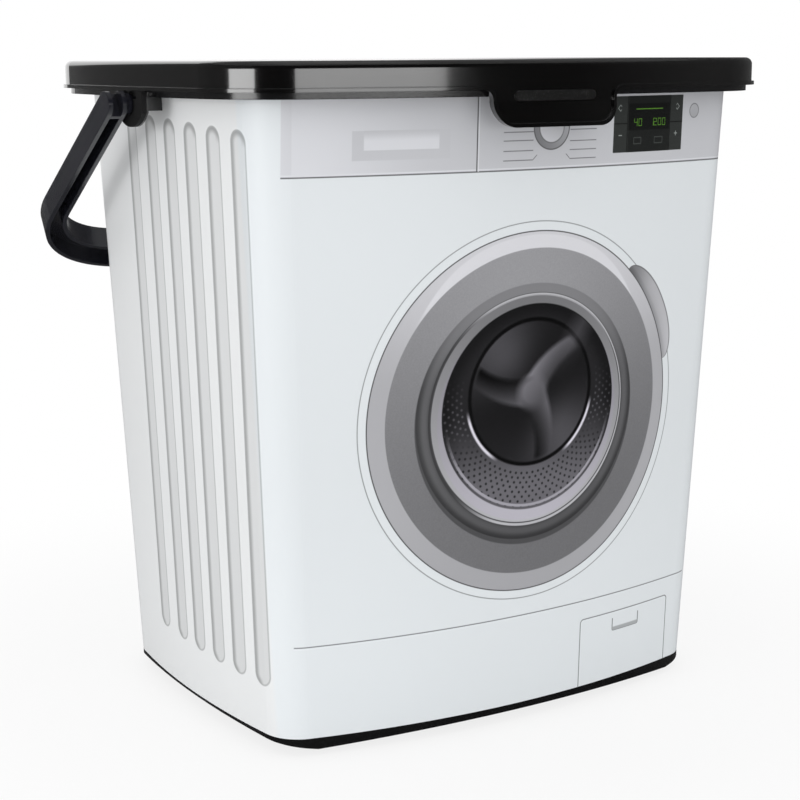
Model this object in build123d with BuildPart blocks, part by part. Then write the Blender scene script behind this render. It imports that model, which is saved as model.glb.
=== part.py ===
from build123d import *

import os
from math import acos, atan2, cos, degrees, hypot, radians, sin, tan

# Storage box for washing powder, in millimetres.
# +Z is up, -Y is the front, and the origin lies under the middle of the tub on the surface it stands on.

# Tub walls, crowned on every side and tapering towards the base
half_width_rim = 126.5
half_depth_rim = 101.3
half_width_base = 115.6
half_depth_base = 91.0
front_bow = 15.5
side_bow = 6.05
corner_radius = 17.3
wall = 1.8
floor_thickness = 2.4
label_thickness = 0.35
label_gap = 0.05

# Heights above the surface
base_rise = 8.0
rim_height = 12.4
rim_top = 287.1

# Base, whose underside slopes up from a flat foot to the crowned walls
foot_side_inset = 36.4
foot_front_inset = 27.2
foot_slope = 10.5

# Rim, stepped out from the walls on a shelf
rim_reach = 11.0
rim_corner_radius = 40.0
rim_wall = 1.8
shelf = 2.0
rim_slot_length = 7.4
rim_slot_height = 1.2
rim_slot_depth = 1.0
rim_slot_forward = 18.1

# Lid
lid_gap = 0.4
skirt = 1.8
bead_proud = 1.0
bead_height = 1.6
lid_drop = 9.8
lid_seat_gap = 0.2
cap = 2.0
lid_edge_radius = 3.0
seal_gap = 0.5
seal_wall = 1.6
seal_depth = 5.0

# Pull tab at the front of the lid
tab_half_width = 31.0
tab_drop = 14.9
tab_corner_radius = 10.0
tab_neck_radius = 4.0
tab_flare = 2.3
tab_flare_height = 10.0
tab_lip = 1.6
tab_bar_length = 40.2
tab_bar_height = 4.1
tab_bar_proud = 0.8
tab_bar_gap = 0.4

# Handle pivots and the lugs that carry them
pivot_forward = 7.4
pivot_drop = 2.8
pin_radius = 3.0
pin_clearance = 0.08
boss_radius = 4.4
running_gap = 0.3
ear = 3.1
ear_half_length = 12.6
ear_drop = 12.4
ear_side_drop = 6.1
ear_notch_half_length = 7.2
ear_notch_drop = 0.7
ear_overlap = 0.35
upstand_gap = 0.5
rib = 3.0
rib_forward = 1.8
rib_height = 5.9

# Bail handle of channel section
arm_gap = 3.1
arm_width = 8.2
arm_depth = 10.6
arm_toe_in = 5.2
flange = 2.0
web = 2.2
cross_wall = 2.0
cross_wall_rise = 1.0
grip_width = 22.6
grip_swing_gap = 6.1
grip_wall_gap = 1.5
bail_outer_radius = 62.0
bail_inner_radius = 42.0

# Sizes that follow from those above
rim_underside = rim_top - rim_height
lid_reach = rim_reach + lid_gap + skirt
bead_reach = lid_reach + bead_proud
lid_inner_reach = rim_reach + lid_gap
lid_underside = rim_top + lid_seat_gap
lid_top = lid_underside + cap
lid_bottom = rim_top - lid_drop
tab_bottom = lid_bottom - tab_drop
flare_top = tab_bottom + tab_flare_height
pivot_y = -pivot_forward
pivot_z = rim_underside - pivot_drop
rim_half_width = half_width_rim + rim_reach
ear_inner = rim_half_width - ear_overlap
ear_outer = ear_inner + ear
arm_inner = half_width_rim + bead_reach + arm_gap
arm_outer = arm_inner + arm_width
grip_inner = half_depth_rim + bead_reach + pivot_forward + grip_swing_gap
grip_outer = grip_inner + grip_width
arm_half_depth = arm_depth / 2


def half_sizes(level):
    """Half width and half depth of the crowned wall at a height, on the straight taper from base to rim."""
    share = (level - base_rise) / (rim_underside - base_rise)
    half_width = half_width_base + share * (half_width_rim - half_width_base)
    half_depth = half_depth_base + share * (half_depth_rim - half_depth_base)
    return half_width, half_depth


def crowned_outline(sketch, level, reach, radius):
    """Draw four crowned sides with rounded corners, as the wall is at a height, moved outwards by reach."""
    half_width, half_depth = half_sizes(level)
    half_width += reach
    half_depth += reach
    corner_x = half_width - side_bow
    corner_y = half_depth - front_bow
    with BuildLine() as outline:
        ThreePointArc((-corner_x, -corner_y), (0, -half_depth), (corner_x, -corner_y))
        ThreePointArc((corner_x, -corner_y), (half_width, 0), (corner_x, corner_y))
        ThreePointArc((corner_x, corner_y), (0, half_depth), (-corner_x, corner_y))
        ThreePointArc((-corner_x, corner_y), (-half_width, 0), (-corner_x, -corner_y))
    make_face(outline.edges())
    fillet(sketch.vertices(), radius)


def wall_outline(sketch, level, reach):
    """Draw the wall's outline at a height, moved outwards by reach."""
    crowned_outline(sketch, level, reach, corner_radius + reach)


def rim_outline(sketch, reach):
    """Draw the rim's outline, moved outwards from the top of the walls by reach."""
    crowned_outline(sketch, rim_underside, reach, rim_corner_radius + reach - rim_reach)


def base_body(reach, lift):
    """Carry the walls' lower outline straight down to the sloping underside, which is raised by lift."""
    foot_half_width = half_width_base - foot_side_inset
    foot_half_depth = half_depth_base - foot_front_inset
    run = base_rise / tan(radians(foot_slope))
    with BuildPart() as body:
        with BuildSketch() as section:
            wall_outline(section, base_rise, reach)
        extrude(amount=base_rise)
        with BuildSketch(Plane.XY.offset(lift)) as foot:
            Rectangle(2 * foot_half_width, 2 * foot_half_depth)
        with BuildSketch(Plane.XY.offset(lift + base_rise)) as spread:
            Rectangle(2 * (foot_half_width + run), 2 * (foot_half_depth + run))
        loft([foot.sketch, spread.sketch], ruled=True, mode=Mode.INTERSECT)
    return body.part


def wall_body(bottom, top, reach, mode):
    """Loft the tapering walls between two heights, moved outwards by reach."""
    sections = []
    for level in (bottom, top):
        with BuildSketch(Plane.XY.offset(level)) as section:
            wall_outline(section, level, reach)
        sections.append(section.sketch)
    loft(sections, ruled=True, mode=mode)


def rim_body(bottom, top, reach, mode):
    """Extrude the rim's outline between two heights, moved outwards by reach."""
    with BuildSketch(Plane.XY.offset(bottom)) as section:
        rim_outline(section, reach)
    extrude(section.sketch, amount=top - bottom, mode=mode)


def flared_body(reach, mode):
    """Build the crowned sheet's side that the pull tab is cut from: straight above, flared out at the bottom."""
    sections = []
    for level, flare in ((tab_bottom, tab_flare), (flare_top, 0.0)):
        with BuildSketch(Plane.XY.offset(level)) as section:
            rim_outline(section, reach + flare)
        sections.append(section.sketch)
    loft(sections, ruled=True, mode=mode)
    rim_body(flare_top, lid_underside, reach, mode)


def tab_outline(sketch):
    """Draw the pull tab's front view, with the skirt's lower edge running into it on both sides."""
    neck_half_width = tab_half_width + 2 * tab_neck_radius
    with BuildLine() as outline:
        Polyline(
            (-tab_half_width, tab_bottom),
            (tab_half_width, tab_bottom),
            (tab_half_width, lid_bottom),
            (neck_half_width, lid_bottom),
            (neck_half_width, lid_top),
            (-neck_half_width, lid_top),
            (-neck_half_width, lid_bottom),
            (-tab_half_width, lid_bottom),
            close=True,
        )
    make_face(outline.edges())
    fillet(sketch.vertices().group_by(Axis.Y)[0], tab_corner_radius)
    neck = sketch.vertices().filter_by(lambda v: abs(abs(v.X) - tab_half_width) < 1e-6)
    fillet(neck.group_by(Axis.Y)[-1], tab_neck_radius)


def keep_below(level):
    """Keep only what lies below a height in the open front-view sketch."""
    with Locations((0, level - 2 * tab_drop)):
        Rectangle(4 * tab_half_width, 4 * tab_drop, mode=Mode.INTERSECT)


def bail_outline(sketch):
    """Draw the bail's loop in its own plane, pivot axis along X, running past the pivots to be rounded there."""
    below = -2 * arm_depth
    with BuildLine() as outline:
        Polyline(
            (arm_outer, below),
            (arm_outer - arm_toe_in, grip_outer),
            (-arm_outer + arm_toe_in, grip_outer),
            (-arm_outer, below),
            (-arm_inner, below),
            (-arm_inner + arm_toe_in, grip_inner),
            (arm_inner - arm_toe_in, grip_inner),
            (arm_inner, below),
            close=True,
        )
    make_face(outline.edges())
    fillet(sketch.vertices().group_by(Axis.Y)[-1], bail_outer_radius)
    inner = sketch.vertices().filter_by(lambda v: abs(v.Y - grip_inner) < 1e-6)
    fillet(inner.filter_by(lambda v: abs(abs(v.X) - (arm_inner - arm_toe_in)) < 1e-6), bail_inner_radius)


# Lugs: an ear outside the rim band on each side, carried by a rib from the wall and by two upstands on the band
with BuildPart() as lugs:
    ear_low = pivot_z - ear_drop + pivot_drop
    ear_side = ear_low + ear_side_drop
    upstand_top = lid_bottom - upstand_gap
    notch = rim_underside - ear_notch_drop
    with BuildSketch(Plane.YZ.offset(ear_inner)) as ear_face:
        with BuildLine():
            ThreePointArc(
                (pivot_y - ear_half_length, ear_side), (pivot_y, ear_low), (pivot_y + ear_half_length, ear_side)
            )
            Polyline(
                (pivot_y + ear_half_length, ear_side),
                (pivot_y + ear_half_length, upstand_top),
                (pivot_y + ear_notch_half_length, upstand_top),
                (pivot_y + ear_notch_half_length, notch),
                (pivot_y - ear_notch_half_length, notch),
                (pivot_y - ear_notch_half_length, upstand_top),
                (pivot_y - ear_half_length, upstand_top),
                (pivot_y - ear_half_length, ear_side),
            )
        make_face()
        with Locations((pivot_y, pivot_z)):
            Circle(pin_radius + pin_clearance, mode=Mode.SUBTRACT)
    extrude(amount=ear)
    rib_start = half_sizes(rim_underside - rib_height)[0] - wall / 2
    with Locations(((rib_start + ear_inner) / 2, pivot_y - rib_forward + rib / 2, rim_underside - rib_height / 2)):
        Box(ear_inner - rib_start, rib, rib_height)
    mirror(about=Plane.YZ)

# Tub: base, walls and rim in one moulding, open at the top
with BuildPart() as tub:
    add(base_body(0.0, 0.0))
    wall_body(base_rise, rim_underside, -label_thickness - label_gap, Mode.ADD)
    rim_body(rim_underside, rim_top, rim_reach, Mode.ADD)
    add(base_body(-wall, floor_thickness), mode=Mode.SUBTRACT)
    wall_body(base_rise, rim_underside + shelf, -wall, Mode.SUBTRACT)
    rim_body(rim_underside + shelf, rim_top, rim_reach - rim_wall, Mode.SUBTRACT)
    add(lugs.part)
    slot_z = (rim_underside + lid_bottom) / 2
    for side in (-1, 1):
        with Locations((side * rim_half_width, pivot_y - rim_slot_forward, slot_z)):
            Box(2 * rim_slot_depth, rim_slot_length, rim_slot_height, mode=Mode.SUBTRACT)
tub.part.label = "tub"

# Wrap label: a film flush with the walls from the base to the rim, cut out round the two ribs
with BuildPart() as wrap_label:
    wall_body(base_rise, rim_underside, 0.0, Mode.ADD)
    wall_body(base_rise, rim_underside, -label_thickness, Mode.SUBTRACT)
    for side in (-1, 1):
        with Locations((side * half_width_rim, pivot_y - rib_forward + rib / 2, rim_underside - rib_height / 2)):
            Box(4 * wall, rib + 2 * label_gap, rib_height + 2 * label_gap, mode=Mode.SUBTRACT)
wrap_label.part.label = "wrap_label"

# Pull tab: the skirt carried on downwards and flared out at the bottom, cut to the tab's front view
with BuildPart() as tab:
    flared_body(lid_reach, Mode.ADD)
    with BuildSketch(Plane.XZ) as view:
        tab_outline(view)
        keep_below(lid_bottom)
    extrude(amount=2 * half_depth_rim, mode=Mode.INTERSECT)

# Lip that carries the skirt's bead round the edge of the tab
with BuildPart() as lip:
    flared_body(bead_reach, Mode.ADD)
    with BuildSketch(Plane.XZ) as edge:
        tab_outline(edge)
        offset(amount=-tab_lip, mode=Mode.SUBTRACT)
        keep_below(lid_bottom + bead_height)
    extrude(amount=2 * half_depth_rim, mode=Mode.INTERSECT)

# Raised grip bar across the tab
with BuildPart() as bar:
    rim_body(flare_top, lid_bottom, lid_reach + tab_bar_proud, Mode.ADD)
    with BuildSketch(Plane.XZ):
        with Locations((0, lid_bottom - tab_bar_gap - tab_bar_height / 2)):
            SlotOverall(tab_bar_length, tab_bar_height)
    extrude(amount=2 * half_depth_rim, mode=Mode.INTERSECT)

# Ring under the cap that locates the lid inside the rim
with BuildPart() as seal:
    seal_reach = rim_reach - rim_wall - seal_gap
    rim_body(lid_underside - seal_depth, lid_underside + cap / 2, seal_reach, Mode.ADD)
    rim_body(lid_underside - seal_depth, lid_underside + cap / 2, seal_reach - seal_wall, Mode.SUBTRACT)

# Lid: cap and skirt with a bead at its lower edge, the pull tab and the ring
with BuildPart() as lid:
    rim_body(lid_bottom, lid_top, lid_reach, Mode.ADD)
    fillet(lid.faces().sort_by(Axis.Z)[-1].edges(), lid_edge_radius)
    with BuildSketch(Plane.XY.offset(lid_bottom)) as bead:
        rim_outline(bead, bead_reach)
        with Locations((0, -half_depth_rim)):
            Rectangle(2 * tab_half_width + 4 * tab_neck_radius, half_depth_rim, mode=Mode.SUBTRACT)
    extrude(amount=bead_height)
    add(tab.part)
    add(lip.part)
    add(bar.part)
    flared_body(lid_inner_reach, Mode.SUBTRACT)
    add(seal.part)
lid.part.label = "lid"

# Handle: the bail hangs from its pins with the grip lying just off the rear wall
wall_slope = (half_depth_rim - half_depth_base) / (rim_underside - base_rise)
wall_at_pivot = half_depth_base + wall_slope * (pivot_z - base_rise)
swing_y = grip_inner + wall_slope * arm_half_depth
swing_z = wall_slope * grip_inner - arm_half_depth
hang = atan2(swing_z, swing_y) + acos((wall_at_pivot + grip_wall_gap + pivot_forward) / hypot(swing_y, swing_z))
bail_plane = Plane(origin=(0, pivot_y, pivot_z), x_dir=(1, 0, 0), z_dir=(0, sin(hang), cos(hang)))
side_plane = Plane(origin=(0, pivot_y, pivot_z), x_dir=(0, cos(hang), -sin(hang)), z_dir=(1, 0, 0))
with BuildPart() as handle:
    with BuildSketch(bail_plane) as loop:
        bail_outline(loop)
    extrude(amount=arm_half_depth, both=True)
    with BuildSketch(side_plane):
        Circle(arm_half_depth)
        with Locations((grip_outer, 0)):
            Rectangle(2 * grip_outer, arm_depth)
    extrude(amount=2 * arm_outer, both=True, mode=Mode.INTERSECT)
    with BuildSketch(bail_plane.offset(-arm_half_depth)) as channel:
        bail_outline(channel)
        offset(amount=-flange)
        with Locations((0, grip_outer + cross_wall_rise + cross_wall)):
            Rectangle(2 * arm_outer, 2 * grip_outer, mode=Mode.INTERSECT)
    extrude(amount=arm_depth - web, mode=Mode.SUBTRACT)
    with BuildSketch(bail_plane) as clevis:
        bail_outline(clevis)
        offset(amount=-flange)
        with Locations((0, cross_wall_rise - grip_outer)):
            Rectangle(2 * arm_outer, 2 * grip_outer, mode=Mode.INTERSECT)
    extrude(amount=arm_depth, both=True, mode=Mode.SUBTRACT)
    for start, radius in ((rim_half_width + running_gap, pin_radius), (ear_outer + running_gap, boss_radius)):
        for side in (-1, 1):
            length = arm_inner + flange / 2 - start
            with BuildSketch(Plane(origin=(side * start, pivot_y, pivot_z), z_dir=(side, 0, 0))):
                Circle(radius)
            extrude(amount=length)
handle.part.label = "handle"
print("handle hangs", round(degrees(hang), 2), "degrees below level")

os.makedirs("parts", exist_ok=True)
export_step(tub.part, "parts/tub.step")
export_step(wrap_label.part, "parts/wrap_label.step")
export_step(lid.part, "parts/lid.step")
export_step(handle.part, "parts/handle.step")
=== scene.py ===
from functools import partial, reduce
from math import cos, pi, radians, sin

import bpy
from bpy.props import FloatProperty, FloatVectorProperty, PointerProperty
from mathutils import Matrix, Vector


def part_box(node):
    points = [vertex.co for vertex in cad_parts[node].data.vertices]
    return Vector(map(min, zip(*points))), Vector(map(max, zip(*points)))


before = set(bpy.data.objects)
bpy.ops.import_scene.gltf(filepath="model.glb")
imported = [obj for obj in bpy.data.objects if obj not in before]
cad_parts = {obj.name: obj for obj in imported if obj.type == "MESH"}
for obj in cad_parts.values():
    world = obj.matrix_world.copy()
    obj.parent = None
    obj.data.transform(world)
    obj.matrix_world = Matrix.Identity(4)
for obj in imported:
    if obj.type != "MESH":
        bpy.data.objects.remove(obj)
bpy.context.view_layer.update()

bl_info = {
    "name": "Washing powder box",
    "version": (1, 0, 0),
    "blender": (4, 5, 0),
    "location": "View3D > Sidebar > Powder Box",
    "description": "Finishes and studio for a lidded washing powder box with a printed wrap",
    "category": "Object",
}

# The print is laid out in millimetres across the front and above the label's lower edge
LABEL_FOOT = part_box("wrap_label")[0][2] * 1000
FRONT_DEPTH = 70.0

# Slots on the flanks
LAST_SLOT = 5.0
SLOT_FOOT = 22.0
SLOT_LENGTH = 234.0

# Fields of the print: left, right, low and high
FASCIA_LEFT = -111.7
FASCIA_FOOT = 236.2
DRAWER = (-83.4, -40.9, 242.2, 253.9)
DRAWER_DIP = (-78.5, -45.9, 246.2, 253.9)
DRAWER_GAP = -28.4
DISPLAY = (42.4, 85.2, 241.5, 265.4)
SCREEN = (51.0, 76.6, 250.8, 262.2)
PLINTH_LINE = (-105.0, 105.0, 40.75, 41.25)
PLINTH_LIGHT = (-105.0, 105.0, 40.0, 40.7)
FLAP = (34.8, 92.6, -20.0, 32.0)
LATCH = (55.1, 72.1, 22.9, 40.0)

# Leader lines beside the dial: left end, right end and heights
LEADERS = (
    (-15.8, -1.0, (251.8, 248.3, 244.1, 240.2)),
    (18.2, 32.6, (252.2, 247.5, 243.8, 240.1)),
)

# Middles of the round parts of the print, with the radii that several tones share
DIAL = (8.4, 253.4)
DIAL_RADIUS = 9.15
BUTTON = (93.2, 258.3)
BUTTON_RADIUS = 3.05
DOOR = (2.8, 131.8)
DOOR_RADIUS = 78.8
DOOR_OUTLINE = (2.9, 131.9)
GREY_RING = (3.4, 132.1)
SEAL = (2.6, 131.2)
INNER_RING = (2.7, 133.2)
PANE = (3.0, 134.6)
DRUM = (2.6, 141.4)

# Holes in the drum's wall: holes in a row, distance between rows and radius
HOLES_IN_ROW = 76.0
HOLE_ROW = 2.1
HOLE_RADIUS = 0.54

# Figures on the screen: left edge and lit strokes
FIGURES = (
    (54.6, "fgbc"),
    (57.3, "abcdef"),
    (64.6, "bc"),
    (66.6, "abged"),
    (69.3, "abcdef"),
    (72.0, "abcdef"),
)
FIGURE_FOOT = 252.7
FIGURE_WIDTH = 1.7
FIGURE_HEIGHT = 2.9
FIGURE_LINE = 0.13

# Rest of the display: lit bar, dim frames, bars of minus and plus, and each arrow's middle and way
LIT_BAR = (55.5, 72.0, 259.6, 260.0)
DIM_FRAMES = ((54.6, 59.0, 245.0, 247.6), (67.4, 72.4, 245.0, 247.6))
SIGN_BARS = ((45.4, 47.4, 248.6, 249.0), (80.1, 82.1, 248.6, 249.0), (80.9, 81.3, 247.8, 249.8))
ARROWS = ((46.4, 1), (81.1, -1))
ARROW_HEIGHT = 260.4

# Heading and tone of the drum's lifters, and headings of the glints on its plate's rim, in degrees
LIFTERS = ((66.0, 0.42), (186.0, 0.27), (306.0, 0.33))
GLINTS = (214.0, 326.0)

# Where a lug starts, how far forward the tab begins, and the tab's grip bar, in millimetres
LUG_START = 138.0
TAB_DEPTH = 100.0
BAR_HEIGHT = 12.4
BAR_HALF_LENGTH = 20.1
BAR_HALF_WIDTH = 2.05
BAR_CORNER = 2.0

# Lamps: place, target, width and height in metres
LAMPS = {
    "softbox_right": ((-0.08, -2.2, 0.30), (-0.08, 0.0, 0.30), 1.84, 0.20),
    "softbox_left": ((-2.3, -0.44, 0.27), (0.0, -0.44, 0.27), 1.22, 0.30),
    "wash_left": ((-2.3, -0.44, 0.60), (0.0, -0.44, 0.30), 1.22, 0.36),
    "softbox_top": ((0.0, -0.25, 1.9), (0.0, 0.0, 0.15), 1.4, 1.4),
}

# Tent round the set, in metres
TENT_RADIUS = 2.6
TENT_HEIGHT = 2.6
TENT_FOOT = 0.0005


class Wire:
    """One number that varies over a surface; arithmetic on it adds Math nodes to its finish."""

    def __init__(self, finish, socket):
        self.finish = finish
        self.socket = socket

    def __add__(self, other):
        return self.finish.math("ADD", self, other)

    __radd__ = __add__

    def __sub__(self, other):
        return self.finish.math("SUBTRACT", self, other)

    def __rsub__(self, other):
        return self.finish.math("SUBTRACT", other, self)

    def __mul__(self, other):
        return self.finish.math("MULTIPLY", self, other)

    __rmul__ = __mul__

    def __truediv__(self, other):
        return self.finish.math("DIVIDE", self, other)

    def __rtruediv__(self, other):
        return self.finish.math("DIVIDE", other, self)

    def __pow__(self, other):
        return self.finish.math("POWER", self, other)

    def __neg__(self):
        return self.finish.math("MULTIPLY", self, -1.0)

    def __abs__(self):
        return self.finish.math("ABSOLUTE", self)


class Nodes:
    """Adds nodes to one node tree."""

    def __init__(self, tree):
        self.tree = tree

    def feed(self, socket, value):
        if isinstance(value, Wire):
            value = value.socket
        if isinstance(value, bpy.types.NodeSocket):
            self.tree.links.new(value, socket)
        else:
            socket.default_value = value

    def node(self, kind, settings, sockets):
        node = self.tree.nodes.new(kind)
        for name, value in settings.items():
            setattr(node, name, value)
        for key, value in sockets.items():
            self.feed(node.inputs[key], value)
        return node

    def math(self, operation, *values):
        node = self.node("ShaderNodeMath", {"operation": operation}, dict(enumerate(values)))
        return Wire(self, node.outputs[0])

    def clamped(self, value):
        node = self.node("ShaderNodeClamp", {}, {"Value": value})
        return Wire(self, node.outputs[0])

    def smooth(self, value, start, end):
        """Rise softly from 0 at the start to 1 at the end."""
        node = self.node(
            "ShaderNodeMapRange",
            {"interpolation_type": "SMOOTHSTEP"},
            {"Value": value, "From Min": start, "From Max": end},
        )
        return Wire(self, node.outputs[0])

    def larger(self, *values):
        return reduce(partial(self.math, "MAXIMUM"), values)

    def smaller(self, *values):
        return reduce(partial(self.math, "MINIMUM"), values)

    def blend(self, under, over, mask):
        """Lay one tone over another where the mask is 1."""
        node = self.node("ShaderNodeMix", {"data_type": "FLOAT"}, {0: mask, 2: under, 3: over})
        return Wire(self, node.outputs[0])

    def paint(self, under, over, mask):
        """Lay one colour over another where the mask is 1."""
        node = self.node("ShaderNodeMix", {"data_type": "RGBA"}, {0: mask, 6: under, 7: over})
        return node.outputs[2]

    def seen(self):
        """A number that is 1 for what the eye sees, straight or in gloss and glass."""
        rays = self.node("ShaderNodeLightPath", {}, {}).outputs
        return self.larger(*(rays[f"Is {kind} Ray"] for kind in ("Camera", "Glossy", "Transmission")))


class Finish(Nodes):
    """A node material; places on the piece are read in millimetres from Object coordinates."""

    def __init__(self, name, settings):
        self.material = bpy.data.materials.new(name)
        self.material.use_nodes = True
        super().__init__(self.material.node_tree)
        self.shader = self.tree.nodes["Principled BSDF"]
        for socket, value in settings.items():
            self.shader.inputs[socket].default_value = value
        self.place = self.node("ShaderNodeTexCoord", {}, {}).outputs["Object"]
        scaled = self.node(
            "ShaderNodeVectorMath", {"operation": "MULTIPLY"}, {0: self.place, 1: (1000, 1000, 1000)}
        )
        parts = self.node("ShaderNodeSeparateXYZ", {}, {0: scaled.outputs[0]})
        self.x, self.y, self.z = (Wire(self, parts.outputs[axis]) for axis in range(3))

    def grain(self, scale, detail, roughness=0.5):
        """Noise from 0 to 1, with scale in cells per metre."""
        node = self.node(
            "ShaderNodeTexNoise",
            {},
            {"Vector": self.place, "Scale": scale, "Detail": detail, "Roughness": roughness},
        )
        return Wire(self, node.outputs[0])

    def inside(self, distance, soft=0.25):
        """Turn a signed distance into a mask with a soft edge."""
        return self.clamped(0.5 - distance / soft)

    def stroke(self, distance, width, soft=0.25):
        """Mask of a line that runs where a distance is zero."""
        return self.inside(abs(distance) - width / 2, soft)

    def circle(self, u, v, at):
        """Distance from a point."""
        across = u - at[0]
        up = v - at[1]
        return self.math("SQRT", across * across + up * up)

    def panel(self, u, v, left, right, low, high, radius=0.0):
        """Signed distance from a rectangle, with corners rounded by radius."""
        across = abs(u - (left + right) / 2) - ((right - left) / 2 - radius)
        up = abs(v - (low + high) / 2) - ((high - low) / 2 - radius)
        if not radius:
            return self.larger(across, up)
        out_across = self.larger(across, 0.0)
        out_up = self.larger(up, 0.0)
        outer = self.math("SQRT", out_across * out_across + out_up * out_up)
        return outer + self.smaller(self.larger(across, up), 0.0) - radius

    def rounded_edges(self, radius, height, strength, depth):
        """Soften the moulding's edges and raise a fine texture on it."""
        soft = self.node("ShaderNodeBevel", {"samples": 4}, {"Radius": radius}).outputs[0]
        relief = {"Strength": strength, "Distance": depth, "Height": height, "Normal": soft}
        bump = self.node("ShaderNodeBump", {}, relief)
        self.feed(self.shader.inputs["Normal"], bump.outputs[0])

    def glow(self, share):
        """Mix a share of plain white light into the surface."""
        light = {"Color": (1, 1, 1, 1), "Strength": 1.0}
        white = self.node("ShaderNodeEmission", {}, light).outputs[0]
        mixed = self.node("ShaderNodeMixShader", {}, {0: share, 1: self.shader.outputs[0], 2: white})
        self.feed(self.tree.nodes["Material Output"].inputs["Surface"], mixed.outputs[0])

    def put_on(self, piece):
        piece.data.materials.clear()
        piece.data.materials.append(self.material)


class Print(Finish):
    """The wrap's finish, whose tone is laid on field by field."""

    def __init__(self, looks):
        super().__init__("label_film", {"Specular IOR Level": 0.4})
        self.looks = looks
        self.u = self.x
        self.v = self.z - LABEL_FOOT
        self.front = self.inside(self.y + FRONT_DEPTH, 2.0)
        cloud = 0.012 * (self.grain(9, 2) - 0.5)
        self.tone = looks.white + cloud + 0.018 * self.smooth(self.z, 130.0, 30.0)

    def lay(self, tone, mask):
        """Lay a tone on the front where the mask is 1."""
        self.tone = self.blend(self.tone, tone, mask * self.front)

    def block(self, left, right, low, high, radius=0.0):
        """Signed distance from a rectangle of the print."""
        return self.panel(self.u, self.v, left, right, low, high, radius)

    def disc(self, at):
        """Distance from a point of the print."""
        return self.circle(self.u, self.v, at)


class PlasticSettings(bpy.types.PropertyGroup):
    """Colours and gloss of the black mouldings"""

    lid_black: FloatVectorProperty(
        name="Lid",
        description="Colour of the lid",
        subtype="COLOR",
        default=(0.0026, 0.0025, 0.0025),
    )
    tub_black: FloatVectorProperty(
        name="Tub",
        description="Colour of the tub, its rim and its base",
        subtype="COLOR",
        default=(0.006, 0.006, 0.0063),
    )
    handle_black: FloatVectorProperty(
        name="Handle",
        description="Colour of the bail handle",
        subtype="COLOR",
        default=(0.0085, 0.0088, 0.0130),
    )
    lid_roughness: FloatProperty(
        name="Lid roughness",
        description="Roughness of the lid",
        subtype="FACTOR",
        default=0.10,
        min=0.0,
        max=1.0,
    )
    tub_roughness: FloatProperty(
        name="Tub roughness",
        description="Roughness of the tub",
        subtype="FACTOR",
        default=0.17,
        min=0.0,
        max=1.0,
    )
    handle_roughness: FloatProperty(
        name="Handle roughness",
        description="Roughness of the handle",
        subtype="FACTOR",
        default=0.2,
        min=0.0,
        max=1.0,
    )
    edge_radius: FloatProperty(
        name="Edge radius",
        description="Softening of the moulded edges",
        unit="LENGTH",
        default=0.0005,
        min=0.0,
    )


class PrintSettings(bpy.types.PropertyGroup):
    """Tones and colours of the printed wrap"""

    white: FloatProperty(
        name="White",
        description="Tone of the cabinet's field",
        subtype="FACTOR",
        default=0.905,
        min=0.0,
        max=1.0,
    )
    fascia: FloatProperty(
        name="Fascia",
        description="Tone of the control panel",
        subtype="FACTOR",
        default=0.86,
        min=0.0,
        max=1.0,
    )
    silver: FloatProperty(
        name="Silver",
        description="Tone of the door's silver ring",
        subtype="FACTOR",
        default=0.69,
        min=0.0,
        max=1.0,
    )
    gasket: FloatProperty(
        name="Grey ring",
        description="Tone of the door's grey ring",
        subtype="FACTOR",
        default=0.495,
        min=0.0,
        max=1.0,
    )
    glass: FloatProperty(
        name="Glass",
        description="Tone of the dark glass",
        subtype="FACTOR",
        default=0.15,
        min=0.0,
        max=1.0,
    )
    line: FloatProperty(
        name="Lines",
        description="Tone of the thin lines",
        subtype="FACTOR",
        default=0.52,
        min=0.0,
        max=1.0,
    )
    figures: FloatVectorProperty(
        name="Figures",
        description="Colour of the lit figures",
        subtype="COLOR",
        default=(0.11, 0.30, 0.02),
    )
    slot_width: FloatProperty(
        name="Slot width",
        description="Width of a printed slot",
        unit="LENGTH",
        default=0.0099,
        min=0.001,
        max=0.016,
    )
    roughness: FloatProperty(
        name="Roughness",
        description="Roughness of the film",
        subtype="FACTOR",
        default=0.34,
        min=0.0,
        max=1.0,
    )


class StageSettings(bpy.types.PropertyGroup):
    """Camera, lights and floor"""

    camera_place: FloatVectorProperty(
        name="Camera",
        description="Where the camera stands",
        subtype="TRANSLATION",
        default=(-0.4349, -0.6977, 0.2912),
    )
    camera_turn: FloatVectorProperty(
        name="Heading, tilt, roll",
        description="Camera heading from the front, tilt down and roll",
        subtype="EULER",
        default=(0.5528, 0.1932, -0.0053),
    )
    lens: FloatProperty(
        name="Lens",
        description="Focal length",
        unit="CAMERA",
        default=79.4,
        min=1.0,
    )
    floor: FloatVectorProperty(
        name="Floor",
        description="Colour of the floor",
        subtype="COLOR",
        default=(0.86, 0.86, 0.86),
    )
    room: FloatProperty(
        name="Room light",
        description="Level of the light all round",
        default=0.9,
        min=0.0,
    )
    key: FloatProperty(
        name="Right light",
        description="Radiance of the softbox right of the camera",
        default=3.2,
        min=0.0,
    )
    fill: FloatProperty(
        name="Left light",
        description="Radiance of the softbox and the wash at the left",
        default=4.8,
        min=0.0,
    )
    top: FloatProperty(
        name="Top light",
        description="Radiance of the softbox above",
        default=0.2,
        min=0.0,
    )


def clouded(finish, black, share, cloud):
    """A black that lightens by a share where the cloud is dense."""
    return finish.paint((*black, 1), (*(share * part for part in black), 1), cloud)


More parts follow.
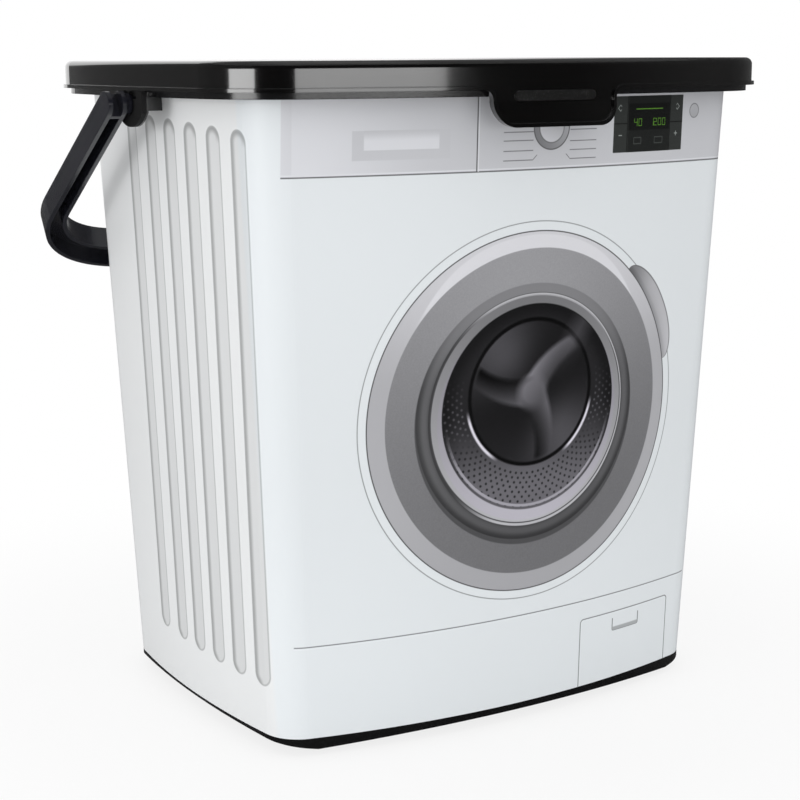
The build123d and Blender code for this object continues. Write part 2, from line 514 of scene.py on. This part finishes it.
class BOX_OT_finish_tub(bpy.types.Operator):
    """Give the tub its satin black plastic, with duller lugs"""

    bl_idname = "powder_box.finish_tub"
    bl_label = "Finish tub"

    def execute(self, context):
        looks = context.scene.powder_box_plastic
        finish = Finish("tub_plastic", {"Specular IOR Level": 0.7, "Coat Roughness": 0.14})
        inputs = finish.shader.inputs
        cloud = finish.grain(26, 3)
        spark = finish.grain(2600, 2)
        finish.feed(inputs["Base Color"], clouded(finish, looks.tub_black, 1.7, cloud))
        lug = finish.inside(LUG_START - abs(finish.x), 0.4)
        finish.feed(inputs["Roughness"], looks.tub_roughness - 0.06 + 0.12 * cloud + 0.7 * lug)
        finish.feed(inputs["Coat Weight"], 0.3 - 0.3 * lug)
        finish.rounded_edges(looks.edge_radius, spark, 0.12, 0.00012)
        finish.put_on(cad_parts["tub"])
        return {"FINISHED"}


class BOX_OT_finish_lid(bpy.types.Operator):
    """Give the lid its glossy black plastic, with a speckled grip bar on the tab"""

    bl_idname = "powder_box.finish_lid"
    bl_label = "Finish lid"

    def execute(self, context):
        looks = context.scene.powder_box_plastic
        finish = Finish("lid_plastic", {"Specular IOR Level": 0.75, "Coat Roughness": 0.06})
        inputs = finish.shader.inputs
        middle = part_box("lid")[0][2] * 1000 + BAR_HEIGHT
        across = (-BAR_HALF_LENGTH, BAR_HALF_LENGTH)
        up = (middle - BAR_HALF_WIDTH, middle + BAR_HALF_WIDTH)
        shape = finish.panel(finish.x, finish.z, *across, *up, BAR_CORNER)
        bar = finish.inside(shape, 0.6) * finish.inside(finish.y + TAB_DEPTH, 2.0)
        cloud = finish.grain(18, 3)
        speckle = finish.grain(1700, 2, 0.7)
        flecks = finish.smooth(speckle, 0.56, 0.66) * bar
        base = clouded(finish, looks.lid_black, 1.5, cloud)
        base = finish.paint(base, (0.05, 0.049, 0.048, 1), flecks)
        finish.feed(inputs["Base Color"], base)
        finish.feed(inputs["Roughness"], looks.lid_roughness + 0.08 * cloud + 0.4 * bar)
        finish.feed(inputs["Coat Weight"], 1.0 - bar)
        ripple = finish.grain(55, 2) * 0.25 + speckle * bar
        finish.rounded_edges(looks.edge_radius, ripple, 0.3, 0.0003)
        finish.put_on(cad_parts["lid"])
        return {"FINISHED"}


class BOX_OT_finish_handle(bpy.types.Operator):
    """Give the bail handle its black plastic"""

    bl_idname = "powder_box.finish_handle"
    bl_label = "Finish handle"

    def execute(self, context):
        looks = context.scene.powder_box_plastic
        finish = Finish(
            "handle_plastic", {"Specular IOR Level": 0.5, "Coat Weight": 0.2, "Coat Roughness": 0.1}
        )
        inputs = finish.shader.inputs
        cloud = finish.grain(30, 3)
        fine = finish.grain(1900, 2)
        finish.feed(inputs["Base Color"], clouded(finish, looks.handle_black, 1.8, cloud))
        finish.feed(inputs["Roughness"], looks.handle_roughness + 0.1 * cloud)
        finish.rounded_edges(looks.edge_radius, fine + 2.0 * cloud, 0.1, 0.0002)
        finish.put_on(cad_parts["handle"])
        return {"FINISHED"}


def print_flanks(ink):
    """Six long pressed slots on each flank, closer together towards the base."""
    foot = 23.35 + 0.021 * ink.y
    head = 258.0 + 0.051 * ink.y
    rise = (ink.v - SLOT_FOOT) / SLOT_LENGTH
    pitch = 17.55 + 1.1 * rise
    first = -63.4 - 6.6 * rise
    step = (ink.y - first) / pitch
    nearest = ink.math("ROUND", ink.smaller(ink.larger(step, 0.0), LAST_SLOT))
    # The rear-most slot stands a little farther back
    across = (step - nearest) * pitch - 2.6 * ink.smooth(nearest, LAST_SLOT - 0.8, LAST_SLOT - 0.2)
    half = ink.looks.slot_width * 1000 / 2
    shape = ink.panel(across, ink.v, -half, half, foot, head, half - 0.05)
    flank = ink.inside(100.0 - abs(ink.x), 2.0)
    # A slot is shaded along its rear side and round its head, and has a thin line round it
    shaded = ink.larger(ink.smooth(across, -1.0, 2.5), ink.smooth(ink.v - head, -7.0, -2.0))
    fill = 0.845 - 0.22 * ink.smooth(shape, -3.4, 0.0) * shaded
    rim = ink.stroke(shape, 0.75, 0.5) * flank * (0.8 + 0.2 * shaded)
    light = ink.stroke(shape - 1.0, 0.5, 0.8) * flank * 0.5
    for tone, mask in ((fill, ink.inside(shape, 0.5) * flank), (0.68, rim), (0.93, light)):
        ink.tone = ink.blend(ink.tone, tone, mask)


def print_plinth(ink):
    """The line above the plinth, and the filter flap with its latch."""
    line = ink.looks.line
    ink.lay(line, ink.inside(ink.block(*PLINTH_LINE), 0.3))
    ink.lay(0.95, ink.inside(ink.block(*PLINTH_LIGHT), 0.3) * 0.6)
    flap = ink.block(*FLAP, 1.8)
    ink.lay(line + 0.02, ink.stroke(flap, 0.5))
    ink.lay(0.96, ink.stroke(flap + 0.7, 0.5) * 0.6)
    latch = ink.block(*LATCH, 0.8)
    ink.lay(line - 0.04, ink.stroke(latch, 0.5) * ink.inside(ink.v - 28.8))
    ink.lay(0.70, ink.inside(latch) * ink.inside(ink.v - 24.5, 0.5))


def print_fascia(ink):
    """The control panel with its drawer and its round button."""
    u, v = ink.u, ink.v
    tone = ink.looks.fascia
    beside = ink.inside(FASCIA_LEFT - u)
    field = beside * ink.inside(FASCIA_FOOT - v)
    ink.lay(tone - 0.07 * ink.smooth(u, -105.0, -42.0) - 0.015 * ink.smooth(v, 250.0, 266.0), field)
    ink.lay(tone - 0.03, ink.stroke(u - FASCIA_LEFT - 2.0, 4.0, 0.6) * field)
    ink.lay(ink.looks.line - 0.08, ink.stroke(v - FASCIA_FOOT, 0.55) * beside)
    ink.lay(0.87, ink.stroke(v - FASCIA_FOOT - 0.8, 0.6) * field)
    # Drawer with its finger recess, and the gap between it and the controls
    ink.lay(0.78, ink.inside(ink.block(*DRAWER), 0.4))
    ink.lay(0.86 - 0.09 * ink.smooth(v, 249.5, 253.9), ink.inside(ink.block(*DRAWER_DIP), 0.4))
    ink.lay(0.36, ink.stroke(u - DRAWER_GAP, 0.5) * field)
    ink.lay(0.88, ink.stroke(u - DRAWER_GAP - 0.7, 0.5) * field)
    # Round button
    edge = ink.disc(BUTTON) - BUTTON_RADIUS
    ink.lay(0.71 + 0.012 * (v - BUTTON[1]), ink.inside(edge))
    ink.lay(0.52, ink.stroke(edge, 0.45))


def print_dial(ink):
    """The dial, with leader lines beside it, the lowest pair hooked towards it."""
    u, v = ink.u, ink.v
    out = ink.disc(DIAL)
    lean = ((u - DIAL[0]) + (v - DIAL[1])) / 18.0
    edge = ink.stroke(out - DIAL_RADIUS, 0.5)
    ink.lay(0.64 + 0.16 * lean, ink.inside(out - DIAL_RADIUS))
    ink.lay(0.80 - 0.10 * lean, ink.inside(out - 6.2, 0.5))
    ink.lay(0.40, ink.larger(edge, 0.55 * ink.stroke(out - 6.4, 0.5)))
    marks = [
        ink.inside(ink.block(left, right, height - 0.17, height + 0.17), 0.3)
        for left, right, heights in LEADERS
        for height in heights
    ]
    for way, end in ((1, LEADERS[0][1]), (-1, LEADERS[1][0])):
        aslant = (v - 240.2) - way * (u - end)
        hook = ink.inside(abs(aslant) - 0.22, 0.3) * ink.inside(abs(v - 241.2) - 1.0, 0.3)
        marks.append(hook * ink.inside(abs(u - end) - 2.4, 0.3))
    ink.lay(0.45, ink.larger(*marks))


def print_display(ink):
    """The display, with a screen between two columns of keys that carry plain signs."""
    u, v = ink.u, ink.v
    display = ink.inside(ink.block(*DISPLAY))
    ink.lay(0.235, ink.inside(ink.block(*DISPLAY, 0.3)))
    ink.lay(0.165, ink.inside(ink.block(*SCREEN[:2], *DISPLAY[2:])))
    ink.lay(0.125, ink.inside(ink.block(*SCREEN)))
    between_keys = ink.stroke(v - 253.8, 0.35) * ink.inside(13.2 - abs(u - 63.7))
    seams = ink.larger(ink.stroke(u - 50.5, 0.35), ink.stroke(u - 76.9, 0.35), between_keys)
    ink.lay(0.10, seams * display)
    ink.lay(0.30, ink.larger(*(ink.stroke(ink.block(*sides), 0.4) for sides in DIM_FRAMES)))
    signs = [ink.inside(ink.block(*bar), 0.2) for bar in SIGN_BARS]
    for middle, way in ARROWS:
        arrow = abs(abs(u - middle + way * 0.4) + abs(v - ARROW_HEIGHT) - 1.3) - 0.2
        signs.append(ink.inside(arrow, 0.25) * ink.inside(way * (u - middle) - 0.3, 0.3))
    ink.lay(0.62, ink.larger(*signs))


def figure_strokes(ink, left, lit):
    """Distance from the strokes of one seven-stroke figure; lit names its strokes from a to g."""
    low = FIGURE_FOOT
    middle = low + FIGURE_HEIGHT / 2
    top = low + FIGURE_HEIGHT
    right = left + FIGURE_WIDTH
    ends = {
        "a": (left, right, top, top),
        "b": (right, right, middle, top),
        "c": (right, right, low, middle),
        "d": (left, right, low, low),
        "e": (left, left, low, middle),
        "f": (left, left, middle, top),
        "g": (left, right, middle, middle),
    }
    grow = (-FIGURE_LINE, FIGURE_LINE, -FIGURE_LINE, FIGURE_LINE)
    sides = ((end + more for end, more in zip(ends[stroke], grow)) for stroke in lit)
    return ink.smaller(*(ink.block(*side) for side in sides))


def lit_figures(ink):
    """Mask of the lit bar and figures on the screen."""
    bar = ink.inside(ink.block(*LIT_BAR), 0.25)
    figures = (ink.inside(figure_strokes(ink, left, lit), 0.2) for left, lit in FIGURES)
    return ink.larger(bar, *figures)


def pierced_wall(ink, out, angle, down):
    """Tones of the drum's wall, lighter at the bottom, with staggered rows of holes low down."""
    dark = ink.looks.glass + 0.02
    wall = dark + 0.26 * ink.smooth(down, 4.0, 44.0)
    row = (out - 33.6) / HOLE_ROW
    row_at = ink.math("ROUND", row)
    turn = angle * (HOLES_IN_ROW / (2 * pi)) + 0.5 * row_at
    turn_at = ink.math("ROUND", turn)
    off_row = (row - row_at) * HOLE_ROW
    off_turn = (turn - turn_at) * out * (2 * pi / HOLES_IN_ROW)
    hole = ink.math("SQRT", off_row ** 2.0 + off_turn ** 2.0)
    holes = ink.inside(hole - HOLE_RADIUS, 0.5) * ink.inside(34.6 - out, 0.5)
    hole_tone = ink.blend(wall + 0.15, dark, ink.smooth(down, 10.0, 26.0))
    return ink.blend(wall, hole_tone, holes * ink.smooth(down, -12.0, 8.0))


def brushed_plate(ink, out, angle, down, aside_middle):
    """Tones of the drum's back plate, with a sheen that fans out, three curved lifters and a hub."""
    fan = abs(ink.math("COSINE", angle - 2.3)) ** 4.0
    sheen = 0.17 * fan * ink.smooth(out, 2.0, 24.0)
    plate = ink.looks.glass - 0.02 + sheen + 0.05 * ink.smooth(down, 4.0, 44.0)
    for heading, light in LIFTERS:
        lean = angle - radians(heading) + 0.014 * out
        along = out * ink.math("COSINE", lean)
        aside = out * ink.math("SINE", lean)
        width = ink.inside(abs(aside) - (6.2 - 0.08 * along), 2.4)
        arm = width * ink.inside(-along, 3.0) * ink.inside(out - 30.0, 2.5)
        plate = ink.blend(plate, light - 0.005 * along + 0.024 * aside, arm)
    hub = ink.inside(out - 7.0, 5.0)
    return ink.blend(plate, 0.40 + 0.008 * (-down - aside_middle), hub)


def drum_tone(ink):
    """Tones behind the glass: a brushed back plate with three lifters, and a pierced drum round it."""
    u, v = ink.u - DRUM[0], ink.v - DRUM[1]
    out = ink.disc(DRUM)
    angle = ink.math("ARCTAN2", v, u)
    wall = pierced_wall(ink, out, angle, -v)
    plate = brushed_plate(ink, out, angle, -v, u)
    tone = ink.blend(wall, plate, ink.inside(out - 31.0, 0.6))
    tone = ink.blend(tone, 0.08, ink.stroke(out - 31.6, 1.6, 0.8))
    # Light caught on the plate's rim at the lower left and lower right
    for heading in GLINTS:
        aim = (u * cos(radians(heading)) + v * sin(radians(heading))) / out
        glint = ink.smooth(aim, 0.90, 0.975) * ink.stroke(out - 33.0, 1.3, 0.7)
        tone = ink.blend(tone, 0.86, glint)
    # Soft reflection across the glass
    slant = abs((ink.u - 16.0) * 0.82 - (ink.v - 150.0) * 0.57)
    streak = ink.inside(slant - 4.0, 9.0) * ink.smooth(ink.v, 140.0, 178.0)
    return ink.blend(tone, 0.52, 0.45 * streak)


def print_pull(ink, out):
    """The door's pull at the upper right, a bulge on the ring's edge; gives its mask."""
    angle = ink.math("ARCTAN2", ink.v - DOOR[1], ink.u - DOOR[0])
    bulge = (angle - radians(29.9)) / radians(18.3)
    rise = ink.larger(1.0 - abs(bulge) ** 2.5, 0.0)
    edge = out - (79.0 + 8.2 * ink.math("SQRT", rise))
    pull = ink.inside(edge, 0.4) * ink.inside(abs(bulge) - 1.0, 0.02) * ink.inside(78.5 - out, 0.4)
    body = 0.675 - 0.05 * bulge - 0.14 * ink.smooth(bulge, 0.3, 1.0)
    body = body + 0.05 * ink.smooth(out, 80.0, 85.0) - 0.08 * ink.inside(out - 80.4, 2.0)
    ink.lay(body, pull)
    ink.lay(0.42, pull * ink.stroke(edge, 0.9, 0.5))
    return pull


def print_door(ink):
    """The round door, from its outline in to its glass; gives its mask."""
    looks = ink.looks
    out = ink.disc(DOOR)
    up = (ink.v - DOOR[1]) / out
    across = (ink.u - DOOR[0]) / out
    ink.lay(looks.line + 0.08, ink.stroke(ink.disc(DOOR_OUTLINE) - 82.7, 0.45))
    pull = print_pull(ink, out)
    # Silver ring with a bright crescent along its top
    silver = looks.silver + 0.13 * ink.smooth(up, 0.2, 0.95) - 0.02 * ink.smooth(-up, 0.4, 1.0)
    crescent = 71.4 + 5.8 * ink.smooth(up, 0.55, 1.0)
    silver = ink.blend(silver, 0.86, ink.inside(out - crescent, 0.7) * ink.smooth(up, 0.56, 0.72))
    ink.lay(silver, ink.inside(out - DOOR_RADIUS))
    ink.lay(0.36, ink.stroke(out - DOOR_RADIUS + 0.1, 0.5))
    # Grey ring with a fine grain
    speck = ink.grain(1500, 1) - 0.5
    grey = looks.gasket + 0.075 * up + 0.035 * up * up - 0.012 * across + 0.05 * speck
    ink.lay(grey, ink.inside(ink.disc(GREY_RING) - 71.2, 0.4))
    # Seal, a dark hollow ring with a fold outside it at the bottom
    ring = ink.disc(INNER_RING)
    below = 1.0 - 0.9 * ink.smooth(up, 0.1, 0.9)
    hollow = 0.385 + 0.13 * ink.smooth(up, 0.2, 1.0) - 0.03 * ink.smooth(-up, 0.2, 1.0)
    folds = 0.12 * ink.smooth(ring, 53.4, 56.6) + 0.05 * ink.smooth(-ring, -52.6, -51.0)
    hollow = hollow - below * folds
    hollow = ink.blend(hollow, 0.325, ink.inside(56.9 - ring, 0.35) * below)
    ink.lay(hollow, ink.inside(ink.disc(SEAL) - 57.2, 0.5))
    # Bright line, dark line and inner silver ring, all widest at the bottom
    low = ink.smooth(-up, 0.0, 1.0)
    bright = ink.inside(ring - 51.0, 0.4) * (1.0 - ink.smooth(-across, 0.35, 0.85))
    dark = ink.inside(ring + 0.6 * low - 50.4, 0.4) * (1.0 - 0.8 * ink.smooth(up, 0.3, 0.9))
    ink.lay(0.26, ink.inside(ring - 51.2, 0.4))
    ink.lay(0.74, bright)
    ink.lay(0.30, dark)
    ink.lay(0.60 - 0.13 * up, ink.inside(ring + 0.6 * low - 49.9, 0.4))
    # Glass in a dark edge, with a bright line along the bottom
    pane = ink.disc(PANE)
    ink.lay(0.12 + 0.26 * low, ink.inside(pane - 45.1, 0.5))
    drum = drum_tone(ink) - 0.05 * ink.smooth(pane, 36.0, 44.5) * (1.0 - low)
    drum = ink.blend(drum, 0.64, ink.stroke(pane - 43.3, 1.2, 0.4) * ink.smooth(-up, 0.0, 0.7))
    ink.lay(drum, ink.inside(pane + 0.6 * low - 44.7, 0.4))
    return ink.larger(ink.inside(out - DOOR_RADIUS), pull) * ink.front


class BOX_OT_print_wrap(bpy.types.Operator):
    """Print the wrap as a front-loading washing machine"""

    bl_idname = "powder_box.print_wrap"
    bl_label = "Print wrap"

    def execute(self, context):
        looks = context.scene.powder_box_print
        ink = Print(looks)
        inputs = ink.shader.inputs
        print_flanks(ink)
        print_plinth(ink)
        print_fascia(ink)
        print_dial(ink)
        print_display(ink)
        door = print_door(ink)
        base = self.tinted(ink, door)
        base = ink.paint(base, (*looks.figures, 1), lit_figures(ink) * ink.front)
        ink.feed(inputs["Base Color"], base)
        peel = ink.grain(420, 2)
        ink.feed(inputs["Roughness"], looks.roughness - 0.04 + 0.08 * peel)
        relief = {"Strength": 0.05, "Distance": 0.0001, "Height": peel}
        ink.feed(inputs["Normal"], ink.node("ShaderNodeBump", {}, relief).outputs[0])
        ink.put_on(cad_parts["wrap_label"])
        return {"FINISHED"}

    def tinted(self, ink, door):
        """The print's colour: its tone, with small leanings in red and blue."""
        fascia = ink.inside(FASCIA_FOOT - ink.v) * ink.inside(FASCIA_LEFT - ink.u) * ink.front
        glass = ink.inside(ink.disc(DOOR) - 47.0) * ink.front
        display = ink.inside(ink.block(*DISPLAY)) * ink.front
        # The white leans to blue, fascia and door to lilac, the glass to violet, the display to green
        red, blue = 0.985, 1.008
        for field, more_red, more_blue in (
            (ink.front, -0.028, 0.020),
            (fascia, 0.032, 0.022),
            (door, 0.044, 0.022),
            (glass, 0.03, 0.07),
            (display, -0.08, -0.1),
        ):
            red = red + more_red * field
            blue = blue + more_blue * field
        shade = ink.tone ** 2.2
        parts = {0: shade * red, 1: shade, 2: shade * blue}
        return ink.node("ShaderNodeCombineColor", {}, parts).outputs[0]


class BOX_OT_build_stage(bpy.types.Operator):
    """Set up the pale floor, the softboxes and the camera"""

    bl_idname = "powder_box.build_stage"
    bl_label = "Build stage"

    def execute(self, context):
        scene = context.scene
        stage = scene.powder_box_stage
        self.set_camera(scene, stage)
        self.lay_floor(stage)
        self.pitch_tent()
        self.light_room(scene, stage)
        levels = (stage.key, stage.fill, stage.fill, stage.top)
        for (name, lamp), radiance in zip(LAMPS.items(), levels):
            self.hang_light(name, *lamp, radiance)
        # The wash only lights; it would show as a white sheet on the lid's top
        bpy.data.objects["wash_left"].visible_glossy = False
        scene.view_settings.view_transform = "Standard"
        return {"FINISHED"}

    def set_camera(self, scene, stage):
        heading, tilt, roll = stage.camera_turn
        forward = Vector((sin(heading) * cos(tilt), cos(heading) * cos(tilt), -sin(tilt)))
        right = Vector((cos(heading), -sin(heading), 0.0))
        up = right.cross(forward)
        turned_right = cos(roll) * right + sin(roll) * up
        turned_up = cos(roll) * up - sin(roll) * right
        lens = bpy.data.cameras.new("photo_camera")
        lens.lens = stage.lens
        lens.sensor_width = 36.0
        lens.clip_start = 0.01
        camera = bpy.data.objects.new("photo_camera", lens)
        turn = Matrix((turned_right, turned_up, -forward)).transposed().to_4x4()
        camera.matrix_world = Matrix.Translation(stage.camera_place) @ turn
        scene.collection.objects.link(camera)
        scene.camera = camera

    def lay_floor(self, stage):
        """Pale floor that keeps the box's soft shadow and turns to the backdrop's white farther out."""
        bpy.ops.object.select_all(action="DESELECT")
        bpy.ops.mesh.primitive_plane_add(size=12.0, location=(0.0, 0.0, 0.0))
        floor = bpy.context.object
        floor.name = "floor"
        finish = Finish(
            "pale_floor",
            {"Base Color": (*stage.floor, 1), "Roughness": 0.9, "Specular IOR Level": 0.1},
        )
        out = finish.circle(finish.x, finish.y, (0.0, 0.0))
        finish.glow(finish.seen() * (0.82 + 0.18 * finish.smooth(out, 150.0, 400.0)))
        finish.put_on(floor)

    def pitch_tent(self):
        """Dark tent with a lighter roof and a white back, which shows only in the gloss of the mouldings."""
        middle = TENT_FOOT + TENT_HEIGHT / 2
        bpy.ops.object.select_all(action="DESELECT")
        bpy.ops.mesh.primitive_cylinder_add(
            vertices=72, radius=TENT_RADIUS, depth=TENT_HEIGHT, location=(0.0, 0.0, middle)
        )
        tent = bpy.context.object
        tent.name = "dark_tent"
        bpy.ops.object.transform_apply(location=True)
        finish = Finish("dark_cloth", {"Roughness": 1.0, "Specular IOR Level": 0.0})
        # Headings run clockwise from the back; the cloth is darkest in front and behind the camera
        heading = finish.math("ARCTAN2", finish.x, finish.y) * (180 / pi)
        out = finish.circle(finish.x, finish.y, (0.0, 0.0)) + 1.0
        away = radians(48.0)
        towards_camera = -(finish.x * sin(away) + finish.y * cos(away)) / out
        darkest = finish.larger(
            finish.smooth(towards_camera, 0.90, 0.975), finish.smooth(abs(heading), 120.0, 146.0)
        )
        cloth = finish.paint((0.085, 0.085, 0.085, 1), (0.01, 0.01, 0.01, 1), darkest)
        roof = finish.inside((TENT_HEIGHT - 0.1) * 1000 - finish.z, 10.0)
        cloth = finish.paint(cloth, (0.25, 0.25, 0.25, 1), roof)
        finish.feed(finish.shader.inputs["Base Color"], cloth)
        back = finish.smooth(heading, -15.0, -11.0) * finish.smooth(heading, 43.0, 31.0)
        wall = finish.inside(abs(finish.z - middle * 1000) - (TENT_HEIGHT * 500 - 0.5), 0.5)
        finish.glow(back * wall)
        finish.put_on(tent)
        tent.visible_camera = False
        tent.visible_diffuse = False
        tent.visible_shadow = False
        tent.visible_transmission = False

    def hang_light(self, name, place, target, width, tall, radiance):
        lamp = bpy.data.lights.new(name, "AREA")
        lamp.shape = "RECTANGLE"
        lamp.size = width
        lamp.size_y = tall
        lamp.energy = radiance * width * tall * pi
        lamp_object = bpy.data.objects.new(name, lamp)
        lamp_object.location = place
        aim = Vector(target) - Vector(place)
        lamp_object.rotation_euler = aim.to_track_quat("-Z", "Y").to_euler()
        lamp_object.visible_camera = False
        bpy.context.scene.collection.objects.link(lamp_object)

    def light_room(self, scene, stage):
        """White for what is seen, and a plain level of light for what it lights."""
        world = bpy.data.worlds.new("studio")
        world.use_nodes = True
        room = Nodes(world.node_tree)
        background = room.tree.nodes["Background"]
        background.inputs["Color"].default_value = (1, 1, 1, 1)
        room.feed(background.inputs["Strength"], room.blend(stage.room, 1.0, room.seen()))
        scene.world = world


class BOX_PT_sidebar(bpy.types.Panel):
    """Lists the box's finishes and its stage"""

    bl_idname = "BOX_PT_sidebar"
    bl_label = "Powder box"
    bl_space_type = "VIEW_3D"
    bl_region_type = "UI"
    bl_category = "Powder Box"

    def draw(self, context):
        for group, operators in (
            ("powder_box_plastic", (BOX_OT_finish_tub, BOX_OT_finish_lid, BOX_OT_finish_handle)),
            ("powder_box_print", (BOX_OT_print_wrap,)),
            ("powder_box_stage", (BOX_OT_build_stage,)),
        ):
            section = self.layout.box()
            settings = getattr(context.scene, group)
            for name in settings.__annotations__:
                section.prop(settings, name)
            for operator in operators:
                section.operator(operator.bl_idname)


SETTINGS = {
    "powder_box_plastic": PlasticSettings,
    "powder_box_print": PrintSettings,
    "powder_box_stage": StageSettings,
}
OPERATORS = (
    BOX_OT_finish_tub,
    BOX_OT_print_wrap,
    BOX_OT_finish_lid,
    BOX_OT_finish_handle,
    BOX_OT_build_stage,
)


def register():
    for name, group in SETTINGS.items():
        bpy.utils.register_class(group)
        setattr(bpy.types.Scene, name, PointerProperty(type=group))
    for operator in OPERATORS:
        bpy.utils.register_class(operator)
    bpy.utils.register_class(BOX_PT_sidebar)


def unregister():
    bpy.utils.unregister_class(BOX_PT_sidebar)
    for operator in reversed(OPERATORS):
        bpy.utils.unregister_class(operator)
    for name, group in SETTINGS.items():
        delattr(bpy.types.Scene, name)
        bpy.utils.unregister_class(group)


def main():
    register()
    bpy.ops.powder_box.finish_tub()
    bpy.ops.powder_box.print_wrap()
    bpy.ops.powder_box.finish_lid()
    bpy.ops.powder_box.finish_handle()
    bpy.ops.powder_box.build_stage()


if __name__ == "__main__":
    main()
